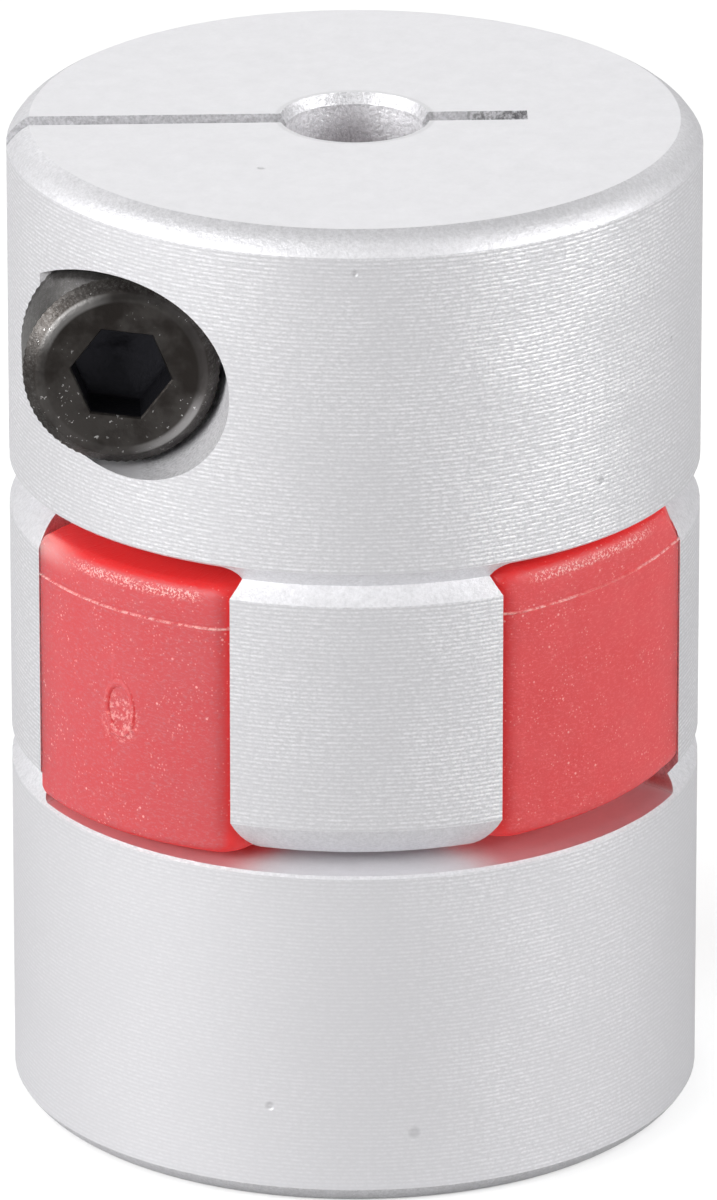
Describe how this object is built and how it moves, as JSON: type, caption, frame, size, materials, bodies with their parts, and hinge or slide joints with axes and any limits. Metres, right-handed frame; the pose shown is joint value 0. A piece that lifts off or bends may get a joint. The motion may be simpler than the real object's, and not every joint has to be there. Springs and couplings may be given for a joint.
{
  "type": "shaft coupling",
  "caption": "Jaw coupling for two small shafts: slotted aluminium clamping hubs with interleaved jaws, a red elastic spider between them and socket head clamp screws.",
  "frame": {"origin": "centre of the lower hub's end face, on the shaft axis", "axes": "+Z along the shaft axis to the upper hub; the upper hub's clamp screw faces the front, -Y, at its -X side"},
  "size_m": [0.02, 0.02, 0.0297],
  "materials": {
    "hub_aluminium": "finely turned and clear anodised, satin",
    "spider_elastomer": "red polyurethane, satin as moulded",
    "screw_steel": "black oxide, lightly oiled"
  },
  "bodies": {
    "root": {"upper_hub": "hub_aluminium", "lower_hub": "hub_aluminium", "spider": "spider_elastomer", "upper_clamp_screw": "screw_steel", "lower_clamp_screw": "screw_steel"}
  },
  "joints": []
}
